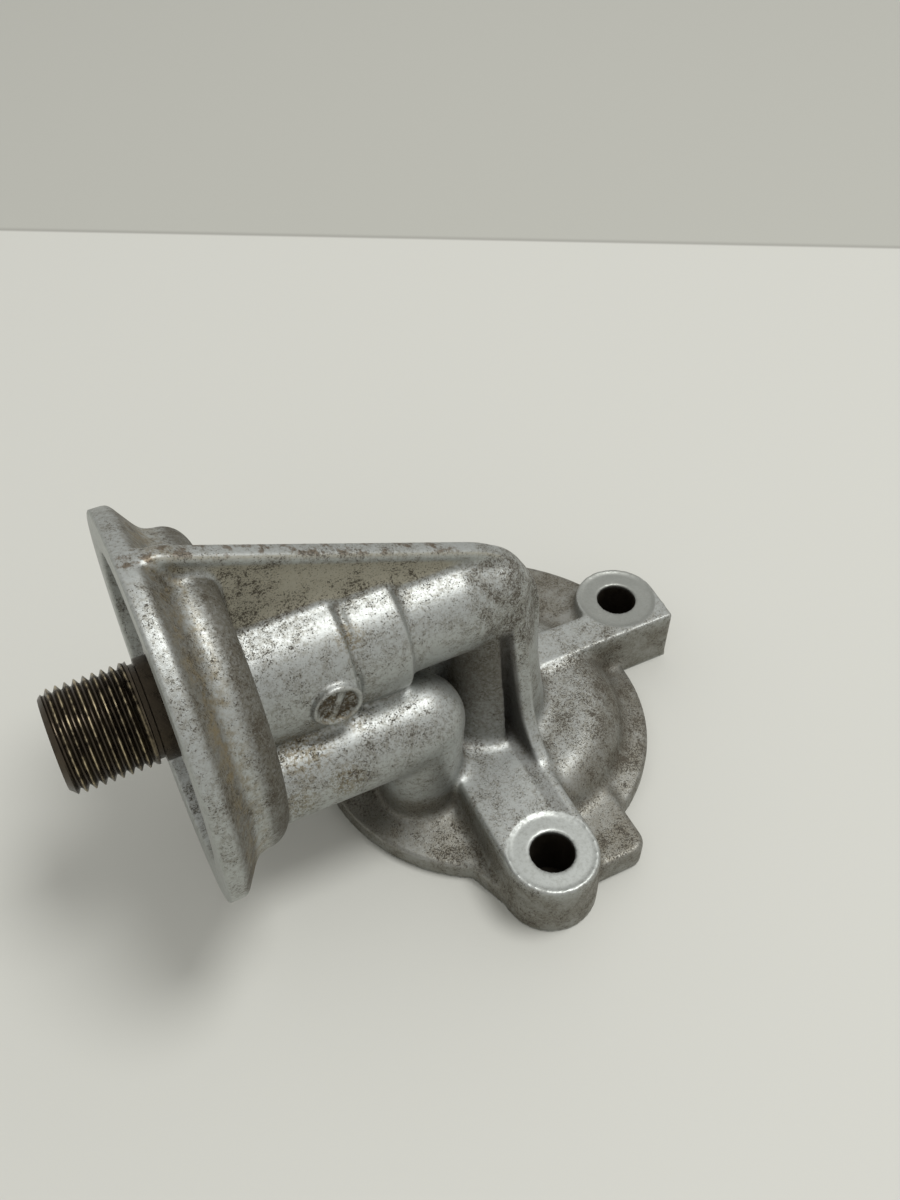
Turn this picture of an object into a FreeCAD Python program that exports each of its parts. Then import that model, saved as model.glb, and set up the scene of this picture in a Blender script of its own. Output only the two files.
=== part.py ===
"""Oil filter housing: a die-cast bracket that carries a spin-on filter on a hollow stud.

Millimetres. The origin is the centre of the engine port, in the plane of the engine face.
+Z is up, away from the engine. The filter stud points to -X.
"""
import math
import os

import FreeCAD
import Part

V = FreeCAD.Vector
X_AXIS, Y_AXIS, Z_AXIS = V(1, 0, 0), V(0, 1, 0), V(0, 0, 1)

# Engine flange: a round plate with two bolt lugs
engine_flange_radius = 36.3
engine_flange_thickness = 4.2
engine_edge_round = 0.8
bolt_hole_radius = 4.4
spot_face_radius = 8.55
spot_face_depth = 0.25
lug_height = 14.0
lug_radius = 9.3
lug_foot_radius = 9.7
lug_foot_height = 4.6
lug_foot_flare, lug_foot_flare_y = 14.2, -27.3
lug_edge_round = 0.7
front_lug_x, front_lug_y = -5.6, -39.6
rear_lug_x, rear_lug_y = 40.5, 11.2
rear_lug_corner_x, rear_lug_front_y = 49.5, 1.2
rear_lug_back_y = 10.0

# Pads and domed roof on the engine flange
side_pad_height = 6.0
side_pad_inner_y, side_pad_outer_y = -22.0, -43.4
side_pad_edge_x = 15.4
side_pad_corner_radius = 3.5
rear_pad_height = 10.0
rear_pad_radius = 44.0
rear_pad_start, rear_pad_end = 14.0, 82.0
roof_slope_radius = 34.0
roof_slope_top_radius = 20.0
roof_slope_height = 7.6
dome_height = 13.0
dome_radius = 30.5
dome_start, dome_end = -92.0, 40.0

# Filter head: flange, bowl and stud boss, turned about the stud's axis
filter_axis_height = 47.3
filter_face_x = -65.5
filter_flange_radius = 36.2
filter_rim_width = 3.4
filter_cone_depth = 7.6
filter_valley_round = 1.6
bowl_rim_inset = 6.2
bowl_depth = 14.4
bowl_back_round = 4.6
filter_land_width = 7.7
bowl_wall = 3.6
bowl_floor_thickness = 3.4
stud_boss_radius = 12.7
stud_boss_recess = 1.5

# Return passage: stepped, from the stud to the elbow, then down the column
passage_drop = 0.1
large_radius, medium_radius, small_radius = 13.6, 12.4, 10.3
large_end_x, medium_end_x = -32.4, -21.0
step_length = 1.4
step_groove_depth = 0.9
elbow_taper_start_x = -7.0
elbow_radius = 8.3
column_draft = 8.0
return_bore_radius = 6.5

# Supply passage: beside and below the return passage
supply_y, supply_z = -9.8, 28.8
supply_radius = 9.3
supply_end_x = -19.8
supply_bore_radius = 5.5
supply_foot_radius = 7.8

# Gusset web in the parting plane
web_half_thickness = 1.2
rim_half_width = 1.9
rim_depth = 2.1
rim_start_inset_x, rim_start_inset_z = 6.6, 0.2
rim_crown_radius = 25.6
rim_crown_z = 36.6
rim_side_x = 11.7
rim_foot_x = 12.6
lower_web_start_x = -45.0
lower_web_foot_x = -29.8

# Slot in the column, and the fin beside it that runs down to the front lug
slot_top_z, slot_bottom_z = 42.0, 14.0
slot_top_x, slot_bottom_x = -1.4, -1.0
slot_top_width, slot_bottom_width = 1.5, 2.7
slot_wall = 1.3
fin_left_x, fin_right_x = 0.0, 4.6
fin_top_y, fin_top_z = -7.5, 46.0
fin_waist_y, fin_waist_z = -12.8, 26.0
fin_bend_y, fin_bend_z = -15.8, 18.9
fin_foot_y = -21.7

# Raised ring cast on the return passage
mark_x, mark_z = -36.8, 47.5
mark_radius, mark_wall = 4.8, 0.9
mark_proud, mark_bar_width = 0.8, 1.1
mark_bar_angle = 20.0

# Oil chamber and seal grooves in the engine face
chamber_inner_radius, chamber_outer_radius = 14.2, 27.0
chamber_depth = 3.6
dome_chamber_depth = 9.4
dome_chamber_outer_radius = 22.8
dome_chamber_margin = 8.0
seal_section_radius = 1.1
seal_groove_depth = 2.3
seal_groove_clearance = 0.2
outer_seal_radius = 31.6
port_seal_radius = 9.9

# Hollow filter stud, 3/4 inch thread
stud_radius = 9.525
stud_length_out = 18.0
stud_bore_radius = 5.8
stud_thread_length = 15.6
stud_relief_radius = 8.7
stud_relief_length = 1.2
stud_chamfer = 1.3
stud_hex_across_flats = 12.0
stud_hex_depth = 9.0
stud_engagement = 13.0

# Bypass valve in the far side of the bowl
bypass_y, bypass_z = 17.0, 36.0
bypass_boss_radius = 9.0
bypass_boss_length = 9.1
bypass_bore_radius = 6.5
bypass_bore_clearance = 0.3
gallery_radius = 7.4
gallery_length = 7.0
cross_port_offset = 5.6
cross_port_radius = 2.8
seat_length = 2.4
seat_port_radius = 3.6
cage_wall = 0.8
cage_length = 13.0
cage_window_count = 4
cage_window_width = 4.0
cage_window_start = 0.8
cage_end_port_radius = 2.2
poppet_lift = 3.0
poppet_running_gap = 0.06
poppet_end_gap = 0.1
poppet_head_thickness = 1.6
poppet_skirt_wall = 0.9
spring_wire_radius = 0.45
spring_radius = 3.6
spring_turns = 4.5
spring_end_gap = 0.1

# Lengths that cutters run past the surface they leave
overrun = 1.0

# Positions that follow from the values above
passage_axis_height = filter_axis_height - passage_drop
filter_cone_end_x = filter_face_x + filter_cone_depth
bowl_radius = filter_flange_radius - bowl_rim_inset
bowl_floor_radius = bowl_radius - bowl_wall
land_inner_radius = filter_flange_radius - filter_land_width
bowl_back_x = filter_face_x + bowl_depth
rim_start_x = filter_face_x + rim_start_inset_x
rim_start_z = filter_axis_height + filter_flange_radius - rim_start_inset_z
seat_start_x = bowl_back_x - bowl_floor_thickness
cage_start_x = seat_start_x + seat_length
cage_end_x = cage_start_x + cage_length
cage_bore_radius = bypass_bore_radius - cage_wall
bypass_boss_end_x = bowl_back_x + bypass_boss_length
cross_port_x = cage_start_x + cross_port_offset
poppet_skirt_length = cage_length - cage_wall - poppet_lift - poppet_end_gap


def revolve_about_filter_axis(points):
    """Turn a closed outline of (x, radius) points about the stud's axis."""
    corners = [V(x, 0, filter_axis_height + r) for x, r in points]
    face = Part.Face(Part.makePolygon(corners + corners[:1]))
    return face.revolve(V(0, 0, filter_axis_height), X_AXIS, 360)


def revolve_about_z(points, start=0.0, sweep=360.0):
    """Turn a closed outline of (radius, z) points about the engine port's axis."""
    corners = [V(r, 0, z) for r, z in points]
    face = Part.Face(Part.makePolygon(corners + corners[:1]))
    face.rotate(V(0, 0, 0), Z_AXIS, start)
    return face.revolve(V(0, 0, 0), Z_AXIS, sweep)


def prism(points, height, base_z=0.0):
    """Stand a closed plan outline up to a height."""
    corners = [V(x, y, base_z) for x, y in points]
    return Part.Face(Part.makePolygon(corners + corners[:1])).extrude(V(0, 0, height))


def upright_edges(shape):
    """The straight edges that run parallel to Z."""
    found = []
    for edge in shape.Edges:
        low, high = edge.BoundBox.ZMin, edge.BoundBox.ZMax
        if abs(high - low - edge.Length) < 1e-6 and high > low:
            found.append(edge)
    return found


def edges_at_height(shape, z):
    """The edges that lie in one level plane."""
    found = []
    for edge in shape.Edges:
        box = edge.BoundBox
        if abs(box.ZMin - z) < 1e-6 and abs(box.ZMax - z) < 1e-6:
            found.append(edge)
    return found


def front_lug():
    """Bolt lug towards -Y: a flat band with a round end, on a slightly wider foot."""
    centre = V(front_lug_x, front_lug_y, 0)
    left_x, right_x = front_lug_x - lug_radius, front_lug_x + lug_radius
    band = prism([(left_x, front_lug_y), (right_x, front_lug_y), (right_x, 0), (left_x, 0)], lug_height)
    top = band.fuse(Part.makeCylinder(lug_radius, lug_height, centre, Z_AXIS)).removeSplitter()
    top = top.makeFillet(lug_edge_round, edges_at_height(top, lug_height))
    foot = prism([(front_lug_x - lug_foot_flare, lug_foot_flare_y),
                  (front_lug_x - lug_foot_radius, front_lug_y),
                  (front_lug_x + lug_foot_radius, front_lug_y),
                  (front_lug_x + lug_foot_flare, lug_foot_flare_y)], lug_foot_height)
    foot_end = Part.makeCylinder(lug_foot_radius, lug_foot_height, centre, Z_AXIS)
    return top.fuse(foot).fuse(foot_end)


def rear_lug():
    """Bolt lug towards +X: a round boss with one square corner and a flat front wall."""
    boss = Part.makeCylinder(lug_radius, lug_height, V(rear_lug_x, rear_lug_y, 0), Z_AXIS)
    corner = prism([(rear_lug_corner_x, rear_lug_front_y), (rear_lug_x + lug_radius, rear_lug_y),
                    (rear_lug_x, rear_lug_y), (rear_lug_x, rear_lug_front_y)], lug_height)
    band = prism([(0, rear_lug_front_y), (rear_lug_x, rear_lug_front_y),
                  (rear_lug_x, rear_lug_y + lug_radius / 2), (rear_lug_x - lug_radius, rear_lug_back_y),
                  (0, rear_lug_back_y)], lug_height)
    return boss.fuse(corner).fuse(band)


def side_pad():
    """Low pad beside the front lug, with one rounded corner."""
    pad = prism([(front_lug_x, side_pad_inner_y), (side_pad_edge_x, side_pad_inner_y),
                 (side_pad_edge_x, side_pad_outer_y), (front_lug_x, side_pad_outer_y)], side_pad_height)
    corner = [e for e in upright_edges(pad)
              if e.CenterOfMass.x > front_lug_x + overrun and e.CenterOfMass.y < side_pad_inner_y - overrun]
    pad = pad.makeFillet(side_pad_corner_radius, corner)
    return pad.makeFillet(engine_edge_round, edges_at_height(pad, side_pad_height))


def rear_pad():
    """Thicker sector of the flange behind the column."""
    outline = [(0, 0), (rear_pad_radius, 0), (rear_pad_radius, rear_pad_height), (0, rear_pad_height)]
    pad = revolve_about_z(outline, rear_pad_start, rear_pad_end - rear_pad_start)
    arcs = [e for e in edges_at_height(pad, rear_pad_height) if e.Curve.TypeId == "Part::GeomCircle"]
    return pad.makeFillet(engine_edge_round, arcs)


def flange_plate():
    """Round plate with a shallow conical roof."""
    plate = Part.makeCylinder(engine_flange_radius, engine_flange_thickness, V(0, 0, 0), Z_AXIS)
    plate = plate.makeFillet(engine_edge_round, edges_at_height(plate, engine_flange_thickness))
    roof = revolve_about_z([(0, 0), (roof_slope_radius, 0), (roof_slope_radius, engine_flange_thickness),
                            (roof_slope_top_radius, roof_slope_height), (0, roof_slope_height)])
    return plate.fuse(roof)


def dome():
    """Crescent dome over the deep part of the oil chamber, with a full round shoulder."""
    outline = [(0, 0), (dome_radius, 0), (dome_radius, dome_height), (0, dome_height)]
    crescent = revolve_about_z(outline, dome_start, dome_end - dome_start)
    shoulder = [e for e in edges_at_height(crescent, dome_height) if e.Curve.TypeId == "Part::GeomCircle"]
    return crescent.makeFillet(dome_height - engine_flange_thickness, shoulder)


def filter_head():
    """Flange rim, conical back, rounded valley and bowl, before it is hollowed."""
    rim_back_x = filter_face_x + filter_rim_width
    head = revolve_about_filter_axis([
        (filter_face_x, 0), (filter_face_x, filter_flange_radius), (rim_back_x, filter_flange_radius),
        (filter_cone_end_x, bowl_radius), (bowl_back_x, bowl_radius), (bowl_back_x, 0)])

    def circle_at(x):
        return [e for e in head.Edges if e.Curve.TypeId == "Part::GeomCircle"
                and abs(e.BoundBox.XMin - x) < 1e-6 and abs(e.BoundBox.XMax - x) < 1e-6]

    head = head.makeFillet(bowl_back_round, circle_at(bowl_back_x))
    head = head.makeFillet(filter_valley_round, circle_at(filter_cone_end_x))
    return head.makeFillet(engine_edge_round, circle_at(rim_back_x))


def bowl_cavity():
    """Annular oil space round the stud boss, open at the filter face."""
    boss_face_x = filter_face_x + stud_boss_recess
    return revolve_about_filter_axis([
        (filter_face_x - overrun, 0), (filter_face_x - overrun, land_inner_radius),
        (filter_face_x, land_inner_radius), (seat_start_x, bowl_floor_radius),
        (seat_start_x, stud_boss_radius), (boss_face_x, stud_boss_radius), (boss_face_x, 0)])


def column_radius_at(z):
    """Outer radius of the tapering column at a height."""
    return elbow_radius + math.tan(math.radians(column_draft)) * (passage_axis_height - z)


def return_passage():
    """Three stepped diameters along X, a tapered elbow and the tapering column."""
    def along(x_start, x_end, radius):
        return Part.makeCylinder(radius, x_end - x_start, V(x_start, 0, passage_axis_height), X_AXIS)

    groove_end_x = large_end_x + step_length
    passage = along(bowl_back_x - overrun, large_end_x, large_radius)
    passage = passage.fuse(along(large_end_x, groove_end_x, medium_radius - step_groove_depth))
    passage = passage.fuse(along(groove_end_x, medium_end_x, medium_radius))
    passage = passage.fuse(along(medium_end_x, elbow_taper_start_x, small_radius))
    step_edges = [e for e in passage.Edges if e.Curve.TypeId == "Part::GeomCircle"
                  and e.BoundBox.XMin > bowl_back_x and e.BoundBox.XMax < medium_end_x + overrun
                  and e.Curve.Radius > medium_radius - step_groove_depth / 2]
    passage = passage.makeFillet(step_groove_depth / 2, step_edges)
    taper = Part.makeCone(small_radius, elbow_radius, -elbow_taper_start_x,
                          V(elbow_taper_start_x, 0, passage_axis_height), X_AXIS)
    elbow = Part.makeSphere(elbow_radius, V(0, 0, passage_axis_height))
    column = Part.makeCone(column_radius_at(0), elbow_radius, passage_axis_height, V(0, 0, 0), Z_AXIS)
    return passage.fuse(taper).fuse(elbow).fuse(column)


def supply_passage():
    """Straight passage with a ball end and a short foot down to the flange."""
    length = supply_end_x - bowl_back_x + overrun
    tube = Part.makeCylinder(supply_radius, length, V(bowl_back_x - overrun, supply_y, supply_z), X_AXIS)
    ball = Part.makeSphere(supply_radius, V(supply_end_x, supply_y, supply_z))
    foot = Part.makeCone(supply_foot_radius, supply_radius, supply_z, V(supply_end_x, supply_y, 0), Z_AXIS)
    return tube.fuse(ball).fuse(foot)


def bypass_boss():
    """Ball-ended boss on the far side of the bowl that holds the bypass valve."""
    length = bypass_boss_end_x - bowl_back_x + overrun
    base = V(bowl_back_x - overrun, bypass_y, bypass_z)
    tube = Part.makeCylinder(bypass_boss_radius, length, base, X_AXIS)
    return tube.fuse(Part.makeSphere(bypass_boss_radius, V(bypass_boss_end_x, bypass_y, bypass_z)))


def plate_across_web(outline, half_thickness):
    """Extrude a closed wire in the web's plane evenly to both sides."""
    face = Part.Face(outline)
    face.translate(V(0, -half_thickness, 0))
    return face.extrude(V(0, 2 * half_thickness, 0))


def gusset():
    """Web in the parting plane, with a thicker rim from the filter flange over the elbow and down."""
    crown_x = rim_side_x - rim_crown_radius
    run, rise = crown_x - rim_start_x, rim_start_z - rim_crown_z
    tilt = math.atan2(rise, run) - math.asin(rim_crown_radius / math.hypot(run, rise))
    middle = (math.pi / 2 + tilt) / 2

    def on_crown(angle):
        return V(crown_x + rim_crown_radius * math.sin(angle), 0,
                 rim_crown_z + rim_crown_radius * math.cos(angle))

    lead = V(filter_face_x + filter_rim_width, 0, rim_start_z)
    start, touch, shoulder = V(rim_start_x, 0, rim_start_z), on_crown(tilt), on_crown(math.pi / 2)
    foot = V(rim_foot_x, 0, lug_height)
    drop = V(0, 0, rim_depth / math.cos(tilt))
    inside = [foot, V(0, 0, lug_height), V(0, 0, passage_axis_height), touch - drop, start - drop,
              lead - drop, lead]
    crown = Part.Arc(touch, on_crown(middle), shoulder).toShape()
    rim_edges = [Part.makeLine(lead, start), Part.makeLine(start, touch), crown,
                 Part.makeLine(shoulder, foot)]
    rim_edges += [Part.makeLine(here, there) for here, there in zip(inside, inside[1:])]
    rim = plate_across_web(Part.Wire(rim_edges), rim_half_width)

    def on_outer_line(edge):
        ends = [V(v.X, 0, v.Z) for v in edge.Vertexes]
        corners = (lead, start, touch, shoulder, foot)
        return edge.BoundBox.YLength < 1e-6 and all(
            any(end.distanceToPoint(corner) < 1e-6 for corner in corners) for end in ends)

    rim = rim.makeFillet(engine_edge_round, [e for e in rim.Edges if on_outer_line(e)])
    upper = Part.makePolygon([lead - drop / 2, start - drop / 2, touch - drop / 2,
                              V(0, 0, passage_axis_height), V(lead.x, 0, passage_axis_height),
                              lead - drop / 2])
    bottom_z = supply_z - supply_radius
    lower = Part.makePolygon([V(lower_web_start_x, 0, passage_axis_height), V(0, 0, passage_axis_height),
                              V(0, 0, 0), V(lower_web_foot_x, 0, 0), V(lower_web_foot_x, 0, bottom_z),
                              V(lower_web_start_x, 0, bottom_z),
                              V(lower_web_start_x, 0, passage_axis_height)])
    web = plate_across_web(upper, web_half_thickness).fuse(plate_across_web(lower, web_half_thickness))
    return web.fuse(rim)


def column_fin():
    """Fin on the front of the column that flares out on to the front lug."""
    def at(y, z):
        return V(fin_left_x, y, z)

    top, waist, foot = at(fin_top_y, fin_top_z), at(fin_waist_y, fin_waist_z), at(fin_foot_y, lug_height)
    flare = Part.Arc(waist, at(fin_bend_y, fin_bend_z), foot).toShape()
    corners = [foot, at(fin_foot_y, engine_flange_thickness), at(0, engine_flange_thickness),
               at(0, fin_top_z), top]
    edges = [Part.makeLine(top, waist), flare]
    edges += [Part.makeLine(here, there) for here, there in zip(corners, corners[1:])]
    return Part.Face(Part.Wire(edges)).extrude(V(fin_right_x - fin_left_x, 0, 0))


def column_slot():
    """Narrow upright slot between the column and its fin, open to -Y."""
    corners = [V(slot_top_x, 0, slot_top_z), V(slot_top_x + slot_top_width, 0, slot_top_z),
               V(slot_bottom_x + slot_bottom_width, 0, slot_bottom_z), V(slot_bottom_x, 0, slot_bottom_z)]
    back_y = -(return_bore_radius + slot_wall)
    face = Part.Face(Part.makePolygon(corners + corners[:1]))
    face.translate(V(0, back_y, 0))
    slot = face.extrude(V(0, fin_foot_y - overrun - back_y, 0))
    inner = [e for e in slot.Edges if abs(e.BoundBox.YMin - back_y) < 1e-6 and e.BoundBox.YLength < 1e-6
             and e.BoundBox.ZLength > slot_top_width]
    return slot.makeFillet(slot_top_width / 3, inner)


def cast_mark():
    """Raised plain ring with one slanting bar."""
    surface_y = -math.sqrt(large_radius ** 2 - (mark_z - passage_axis_height) ** 2)
    outer_y = surface_y - mark_proud
    depth = large_radius / 2
    ring = Part.makeCylinder(mark_radius, depth, V(mark_x, outer_y, mark_z), Y_AXIS)
    ring = ring.cut(Part.makeCylinder(mark_radius - mark_wall, depth, V(mark_x, outer_y, mark_z), Y_AXIS))
    bar_radius = mark_radius - mark_wall
    bar = Part.makeBox(mark_bar_width, depth, 2 * bar_radius,
                       V(mark_x - mark_bar_width / 2, outer_y + mark_proud / 2, mark_z - bar_radius))
    bar.rotate(V(mark_x, 0, mark_z), Y_AXIS, mark_bar_angle)
    return ring.fuse(bar)


def passage(radius, start, along):
    """Round bore from a point, as long as the vector."""
    return Part.makeCylinder(radius, along.Length, start, along)


def oil_passages():
    """Everything that the oil runs through, as one cutter."""
    stud_end_x = filter_face_x + stud_boss_recess + stud_engagement
    elbow = V(0, 0, filter_axis_height)
    supply_turn = V(supply_end_x, supply_y, supply_z)
    supply_start = V(seat_start_x - overrun, supply_y, supply_z)
    valve_start = V(seat_start_x - overrun, bypass_y, bypass_z)
    valve_length = cage_end_x + bypass_bore_clearance - valve_start.x
    cross_start = V(cross_port_x, bypass_y, bypass_z)
    bores = [
        passage(stud_radius, V(filter_face_x - overrun, 0, filter_axis_height),
                V(stud_end_x - filter_face_x + overrun, 0, 0)),
        passage(return_bore_radius, V(stud_end_x, 0, filter_axis_height), V(-stud_end_x, 0, 0)),
        Part.makeSphere(return_bore_radius, elbow),
        passage(return_bore_radius, elbow, V(0, 0, -filter_axis_height - overrun)),
        passage(supply_bore_radius, supply_start, supply_turn - supply_start),
        Part.makeSphere(supply_bore_radius, supply_turn),
        passage(supply_bore_radius, supply_turn, V(0, 0, -supply_z - overrun)),
        passage(bypass_bore_radius, valve_start, V(valve_length, 0, 0)),
        passage(gallery_radius, V(cage_start_x, bypass_y, bypass_z), V(gallery_length, 0, 0)),
        passage(cross_port_radius, cross_start, V(0, -bypass_y, filter_axis_height - bypass_z)),
    ]
    cutter = bores[0]
    for bore in bores[1:]:
        cutter = cutter.fuse(bore)
    return cutter


def face_chamber():
    """Oil chamber in the engine face: shallow all round, deep under the dome."""
    ring = revolve_about_z([(chamber_inner_radius, -overrun), (chamber_outer_radius, -overrun),
                            (chamber_outer_radius, chamber_depth), (chamber_inner_radius, chamber_depth)])
    outline = [(chamber_inner_radius, -overrun), (chamber_outer_radius, -overrun),
               (chamber_outer_radius, chamber_depth), (dome_chamber_outer_radius, dome_chamber_depth),
               (chamber_inner_radius + overrun, dome_chamber_depth)]
    sweep = dome_end - dome_start - 2 * dome_chamber_margin
    deep = revolve_about_z(outline, dome_start + dome_chamber_margin, sweep)
    return ring.fuse(deep)


def seal_groove(radius):
    """Ring-shaped cutter for a seal groove in the engine face."""
    half = seal_section_radius + seal_groove_clearance
    return revolve_about_z([(radius - half, -overrun), (radius + half, -overrun),
                            (radius + half, seal_groove_depth), (radius - half, seal_groove_depth)])


def bolt_holes():
    """Both bolt holes with their machined spot faces, as one cutter."""
    cutter = None
    for x, y in ((front_lug_x, front_lug_y), (rear_lug_x, rear_lug_y)):
        hole = Part.makeCylinder(bolt_hole_radius, lug_height + 2 * overrun, V(x, y, -overrun), Z_AXIS)
        spot = Part.makeCylinder(spot_face_radius, spot_face_depth + overrun,
                                 V(x, y, lug_height - spot_face_depth), Z_AXIS)
        both = hole.fuse(spot)
        cutter = both if cutter is None else cutter.fuse(both)
    return cutter


def housing():
    """The one casting, with its machined faces, bores and grooves."""
    body = flange_plate()
    for piece in (dome(), rear_pad(), side_pad(), front_lug(), rear_lug(), return_passage(),
                  filter_head(), bypass_boss(), gusset(), column_fin()):
        body = body.fuse(piece)
    body = body.cut(column_slot())
    body = body.fuse(supply_passage()).fuse(cast_mark())
    for cutter in (bowl_cavity(), oil_passages(), face_chamber(), seal_groove(outer_seal_radius),
                   seal_groove(port_seal_radius), bolt_holes()):
        body = body.cut(cutter)
    return body.removeSplitter()


def filter_stud():
    """Hollow stud: threaded end, relief, shank in the boss, hexagon socket in the tip."""
    tip_x = filter_face_x - stud_length_out
    thread_end_x = tip_x + stud_thread_length
    relief_end_x = thread_end_x + stud_relief_length
    inner_end_x = filter_face_x + stud_boss_recess + stud_engagement
    stud = revolve_about_filter_axis([
        (tip_x, stud_bore_radius), (tip_x, stud_radius - stud_chamfer), (tip_x + stud_chamfer, stud_radius),
        (thread_end_x, stud_radius), (thread_end_x, stud_relief_radius), (relief_end_x, stud_relief_radius),
        (relief_end_x, stud_radius), (inner_end_x, stud_radius), (inner_end_x, stud_bore_radius)])
    corner_radius = stud_hex_across_flats / math.sqrt(3)
    corners = [V(tip_x, corner_radius * math.cos(math.radians(60 * i)),
                 filter_axis_height + corner_radius * math.sin(math.radians(60 * i))) for i in range(6)]
    socket = Part.Face(Part.makePolygon(corners + corners[:1])).extrude(V(stud_hex_depth, 0, 0))
    return stud.cut(socket)


def seal_ring(radius):
    """Round-section ring that touches the bottom of its groove."""
    centre = V(0, 0, seal_groove_depth - seal_section_radius)
    return Part.makeTorus(radius, seal_section_radius, centre, Z_AXIS)


def revolve_about_bypass_axis(points):
    """Turn a closed outline of (x, radius) points about the bypass valve's axis."""
    corners = [V(x, bypass_y, bypass_z + r) for x, r in points]
    face = Part.Face(Part.makePolygon(corners + corners[:1]))
    return face.revolve(V(0, bypass_y, bypass_z), X_AXIS, 360)


def bypass_seat():
    """Ring pressed into the bowl floor; the poppet closes its port."""
    return revolve_about_bypass_axis([
        (seat_start_x, seat_port_radius), (seat_start_x, bypass_bore_radius),
        (cage_start_x, bypass_bore_radius), (cage_start_x, seat_port_radius)])


def bypass_cage():
    """Thin cup behind the seat: the poppet uncovers its windows and its end carries the spring."""
    cage = revolve_about_bypass_axis([
        (cage_start_x, cage_bore_radius), (cage_start_x, bypass_bore_radius),
        (cage_end_x, bypass_bore_radius), (cage_end_x, cage_end_port_radius),
        (cage_end_x - cage_wall, cage_end_port_radius), (cage_end_x - cage_wall, cage_bore_radius)])
    window_x = cage_start_x + cage_window_start
    for i in range(cage_window_count):
        window = Part.makeBox(poppet_lift, cage_window_width, bypass_bore_radius + overrun,
                              V(window_x, bypass_y - cage_window_width / 2, bypass_z))
        window.rotate(V(0, bypass_y, bypass_z), X_AXIS, 360 * (i + 0.5) / cage_window_count)
        cage = cage.cut(window)
    return cage


def bypass_poppet():
    """Cup-shaped poppet that slides in the cage; its skirt meets the end of the cage at full lift."""
    radius = cage_bore_radius - poppet_running_gap
    skirt_end_x = cage_start_x + poppet_skirt_length
    head_end_x = cage_start_x + poppet_head_thickness
    return revolve_about_bypass_axis([
        (cage_start_x, 0), (cage_start_x, radius), (skirt_end_x, radius),
        (skirt_end_x, radius - poppet_skirt_wall), (head_end_x, radius - poppet_skirt_wall), (head_end_x, 0)])


def bypass_spring():
    """Compression spring between the poppet's head and the end of the cage."""
    start_x = cage_start_x + poppet_head_thickness + spring_end_gap + spring_wire_radius
    end_x = cage_end_x - cage_wall - spring_end_gap - spring_wire_radius
    length = end_x - start_x
    helix = Part.makeHelix(length / spring_turns, length, spring_radius)
    wire_face = Part.Wire(Part.makeCircle(spring_wire_radius, V(spring_radius, 0, 0), Y_AXIS))
    coil = Part.Wire(helix).makePipeShell([wire_face], True, True)
    coil.rotate(V(0, 0, 0), Y_AXIS, 90)
    coil.translate(V(start_x, bypass_y, bypass_z))
    return coil


PARTS = {
    "housing": housing,
    "filter_stud": filter_stud,
    "outer_seal": lambda: seal_ring(outer_seal_radius),
    "port_seal": lambda: seal_ring(port_seal_radius),
    "bypass_seat": bypass_seat,
    "bypass_cage": bypass_cage,
    "bypass_poppet": bypass_poppet,
    "bypass_spring": bypass_spring,
}

os.makedirs("parts", exist_ok=True)
for name, make in PARTS.items():
    shape = make()
    print(name, "solids", len(shape.Solids), "valid", shape.isValid(), "volume", round(shape.Volume, 1))
    shape.exportStep("parts/" + name + ".step")
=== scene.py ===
"""Looks for the oil filter housing: a worn die casting, its threaded stud and the valve behind the flange.

Metres, in the part's own frame. Lengths written as n * MM are millimetres.
"""
import math

import bmesh
import bpy
import numpy as np
from mathutils import Matrix, Vector


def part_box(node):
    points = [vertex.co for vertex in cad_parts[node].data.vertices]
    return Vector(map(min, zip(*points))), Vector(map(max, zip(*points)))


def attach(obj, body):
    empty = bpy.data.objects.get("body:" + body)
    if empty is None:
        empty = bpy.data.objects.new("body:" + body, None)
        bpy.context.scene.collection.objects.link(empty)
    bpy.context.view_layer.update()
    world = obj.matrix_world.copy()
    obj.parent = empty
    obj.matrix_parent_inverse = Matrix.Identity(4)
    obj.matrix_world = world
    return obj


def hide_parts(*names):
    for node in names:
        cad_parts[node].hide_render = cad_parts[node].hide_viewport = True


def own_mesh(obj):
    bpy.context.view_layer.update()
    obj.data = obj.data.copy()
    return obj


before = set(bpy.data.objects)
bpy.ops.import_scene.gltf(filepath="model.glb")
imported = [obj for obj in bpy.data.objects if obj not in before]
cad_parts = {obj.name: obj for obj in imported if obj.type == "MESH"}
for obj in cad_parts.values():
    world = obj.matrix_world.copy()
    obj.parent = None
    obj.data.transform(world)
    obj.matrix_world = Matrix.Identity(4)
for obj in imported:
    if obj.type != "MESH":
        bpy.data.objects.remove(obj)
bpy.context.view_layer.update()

MM = 0.001
MERGE = 1e-7

# Places that scene.py shares with the part, in millimetres
FILTER_AXIS_Z = 47.3
FILTER_FACE_X = -65.5
BOLT_HOLES = ((-5.6, -39.6), (40.5, 11.2))
BOLT_HOLE_RADIUS = 4.4
SPOT_FACE_RADIUS = 8.55
SPOT_FACE_Z = 13.75
RETURN_BORE_RADIUS = 6.5
BYPASS_Y, BYPASS_Z, BYPASS_BORE_RADIUS = 17.0, 36.0, 7.4
STUD_RADIUS = 9.525
STUD_TIP_X = -83.5
THREAD_END_X = -67.9
RELIEF_END_X = -66.7
STUD_INNER_END_X = -51.0
STUD_BORE_RADIUS = 5.8
RELIEF_RADIUS = 8.7
STUD_CHAMFER = 1.3
HEX_APOTHEM = 6.0
HEX_DEPTH = 9.0
THREAD_PITCH = 1.5875
SPRING_START_X, SPRING_END_X = -49.95, -40.45
SPRING_RADIUS, SPRING_WIRE_RADIUS, SPRING_TURNS = 3.6, 0.45, 4.5
MARK_X, MARK_Z, MARK_RADIUS = -36.8, 47.5, 4.8
PASSAGE_RADIUS = 13.6


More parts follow.
